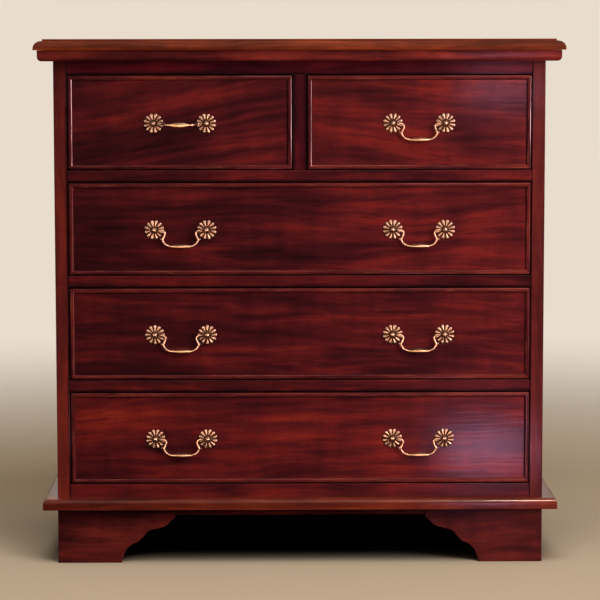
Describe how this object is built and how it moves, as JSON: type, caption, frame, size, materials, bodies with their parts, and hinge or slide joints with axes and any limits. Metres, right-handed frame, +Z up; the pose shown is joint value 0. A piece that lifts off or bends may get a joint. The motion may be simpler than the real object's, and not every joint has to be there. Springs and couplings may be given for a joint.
{
  "type": "chest of drawers",
  "caption": "Free-standing wooden chest of short drawers over long drawers, on shaped bracket feet, with swinging brass bail handles.",
  "frame": {"origin": "on the floor, under the middle of the overall box", "axes": "+Z up, the drawers face -Y, +X to the right as seen from the front"},
  "size_m": [0.962, 0.4892, 0.9645],
  "materials": {
    "mahogany": "polished",
    "oak": "bare",
    "pine": "bare",
    "brass": "aged"
  },
  "bodies": {
    "case": {"top_board": "mahogany", "top_moulding": "mahogany", "base_moulding": "mahogany", "side_left": "mahogany", "side_right": "mahogany", "back_panel": "pine", "top_rail": "mahogany", "top_dust_board": "pine", "lower_rail": "mahogany", "lower_dust_board": "pine", "middle_rail": "mahogany", "middle_dust_board": "pine", "upper_rail": "mahogany", "upper_dust_board": "pine", "bottom_rail": "mahogany", "bottom_board": "pine", "drawer_divider": "mahogany", "foot_front_left": "mahogany", "foot_front_right": "mahogany", "foot_back_left": "mahogany", "foot_back_right": "mahogany"},
    "short_left_drawer": {"short_left_drawer_front": "mahogany", "short_left_drawer_box": "oak", "short_left_drawer_bottom": "oak", "short_left_rosette_left": "brass", "short_left_rosette_right": "brass"},
    "short_right_drawer": {"short_right_drawer_front": "mahogany", "short_right_drawer_box": "oak", "short_right_drawer_bottom": "oak", "short_right_rosette_left": "brass", "short_right_rosette_right": "brass"},
    "lower_drawer": {"lower_drawer_front": "mahogany", "lower_drawer_box": "oak", "lower_drawer_bottom": "oak", "lower_left_rosette_left": "brass", "lower_left_rosette_right": "brass", "lower_right_rosette_left": "brass", "lower_right_rosette_right": "brass"},
    "middle_drawer": {"middle_drawer_front": "mahogany", "middle_drawer_box": "oak", "middle_drawer_bottom": "oak", "middle_left_rosette_left": "brass", "middle_left_rosette_right": "brass", "middle_right_rosette_left": "brass", "middle_right_rosette_right": "brass"},
    "upper_drawer": {"upper_drawer_front": "mahogany", "upper_drawer_box": "oak", "upper_drawer_bottom": "oak", "upper_left_rosette_left": "brass", "upper_left_rosette_right": "brass", "upper_right_rosette_left": "brass", "upper_right_rosette_right": "brass"},
    "short_left_bail": {"short_left_bail": "brass"},
    "short_right_bail": {"short_right_bail": "brass"},
    "lower_left_bail": {"lower_left_bail": "brass"},
    "lower_right_bail": {"lower_right_bail": "brass"},
    "middle_left_bail": {"middle_left_bail": "brass"},
    "middle_right_bail": {"middle_right_bail": "brass"},
    "upper_left_bail": {"upper_left_bail": "brass"},
    "upper_right_bail": {"upper_right_bail": "brass"}
  },
  "joints": [
    {"name": "short_left_drawer_slide", "type": "slide", "parent": "case", "child": "short_left_drawer", "axis": [0, -1, 0], "range_m": [0, 0.3]},
    {"name": "short_right_drawer_slide", "type": "slide", "parent": "case", "child": "short_right_drawer", "axis": [0, -1, 0], "range_m": [0, 0.3]},
    {"name": "lower_drawer_slide", "type": "slide", "parent": "case", "child": "lower_drawer", "axis": [0, -1, 0], "range_m": [0, 0.3]},
    {"name": "middle_drawer_slide", "type": "slide", "parent": "case", "child": "middle_drawer", "axis": [0, -1, 0], "range_m": [0, 0.3]},
    {"name": "upper_drawer_slide", "type": "slide", "parent": "case", "child": "upper_drawer", "axis": [0, -1, 0], "range_m": [0, 0.3]},
    {"name": "short_left_bail_swing", "type": "hinge", "parent": "short_left_drawer", "child": "short_left_bail", "pos_m": [-0.218, -0.2116, 0.8119], "axis": [-1, 0, 0], "range_deg": [-89, 89]},
    {"name": "short_right_bail_swing", "type": "hinge", "parent": "short_right_drawer", "child": "short_right_bail", "pos_m": [0.218, -0.2116, 0.8119], "axis": [-1, 0, 0], "range_deg": [-3, 175]},
    {"name": "lower_left_bail_swing", "type": "hinge", "parent": "lower_drawer", "child": "lower_left_bail", "pos_m": [-0.218, -0.2116, 0.23165], "axis": [-1, 0, 0], "range_deg": [-3, 175]},
    {"name": "lower_right_bail_swing", "type": "hinge", "parent": "lower_drawer", "child": "lower_right_bail", "pos_m": [0.218, -0.2116, 0.23165], "axis": [-1, 0, 0], "range_deg": [-3, 175]},
    {"name": "middle_left_bail_swing", "type": "hinge", "parent": "middle_drawer", "child": "middle_left_bail", "pos_m": [-0.218, -0.2116, 0.42465], "axis": [-1, 0, 0], "range_deg": [-3, 175]},
    {"name": "middle_right_bail_swing", "type": "hinge", "parent": "middle_drawer", "child": "middle_right_bail", "pos_m": [0.218, -0.2116, 0.42465], "axis": [-1, 0, 0], "range_deg": [-3, 175]},
    {"name": "upper_left_bail_swing", "type": "hinge", "parent": "upper_drawer", "child": "upper_left_bail", "pos_m": [-0.218, -0.2116, 0.61765], "axis": [-1, 0, 0], "range_deg": [-3, 175]},
    {"name": "upper_right_bail_swing", "type": "hinge", "parent": "upper_drawer", "child": "upper_right_bail", "pos_m": [0.218, -0.2116, 0.61765], "axis": [-1, 0, 0], "range_deg": [-3, 175]}
  ]
}
